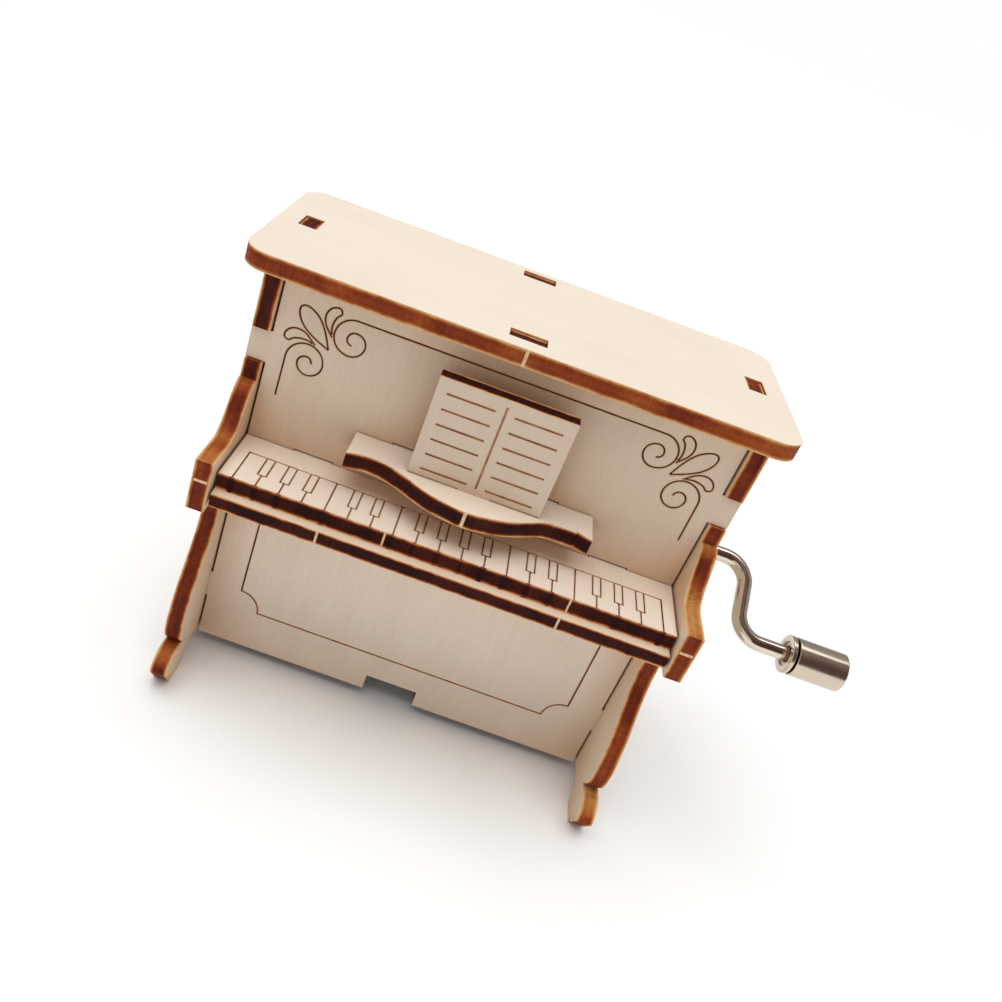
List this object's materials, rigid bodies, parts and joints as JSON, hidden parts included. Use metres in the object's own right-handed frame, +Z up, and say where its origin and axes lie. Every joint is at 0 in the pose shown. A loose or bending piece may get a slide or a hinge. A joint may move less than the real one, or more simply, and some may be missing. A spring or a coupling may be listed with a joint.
{
  "type": "piano music box",
  "caption": "Miniature upright piano music box: laser-cut plywood case with keyboard shelf, music desk and book, and a side crank that turns a pinned drum against a comb.",
  "frame": {"origin": "on the ground, in the middle of the four foot soles", "axes": "+X to the player's right, along the crank's axis; +Y from the keyboard to the back; +Z up"},
  "size_m": [0.1251, 0.0537, 0.0815],
  "materials": {
    "plywood": "satin",
    "zinc": "satin",
    "comb_steel": "satin",
    "screw_steel": "satin",
    "lead": "matt",
    "brass": "satin",
    "crank_steel": "gloss",
    "shaft_steel": "satin"
  },
  "bodies": {
    "case": {"lid": "plywood", "left_side": "plywood", "right_side": "plywood", "front_panel": "plywood", "back_panel": "plywood", "keyboard_plate": "plywood", "key_bed": "plywood", "music_desk": "plywood", "music_book": "plywood", "movement_bed_plate": "zinc", "lower_drum_bracket": "zinc", "upper_drum_bracket": "zinc", "inner_crank_bearing": "zinc", "outer_crank_bearing": "zinc", "bracket_screws": "screw_steel", "movement_screws": "screw_steel", "comb": "comb_steel", "comb_screws": "screw_steel", "tuning_leads": "lead"},
    "drum": {"drum_sleeve": "brass", "drum_caps": "brass", "drum_arbor": "shaft_steel", "worm_wheel": "brass"},
    "crank": {"worm": "brass", "worm_clip": "shaft_steel", "crank_wire": "crank_steel", "knob_retainer": "shaft_steel"},
    "knob": {"knob_bush": "crank_steel", "crank_knob": "crank_steel"}
  },
  "joints": [
    {"name": "crank_spin", "type": "hinge", "parent": "case", "child": "crank", "pos_m": [0.0408, 0.0107, 0.0456], "axis": [1, 0, 0], "continuous": true},
    {"name": "drum_spin", "type": "hinge", "parent": "case", "child": "drum", "pos_m": [0.02, 0.0022, 0.0255], "axis": [0, 0, 1], "continuous": true},
    {"name": "knob_spin", "type": "hinge", "parent": "crank", "child": "knob", "pos_m": [0.0736, -0.00175, 0.03688], "axis": [1, 0, 0], "continuous": true}
  ],
  "couplings": [
    {"joint": "drum_spin", "follows": "crank_spin", "ratio": 0.05}
  ]
}
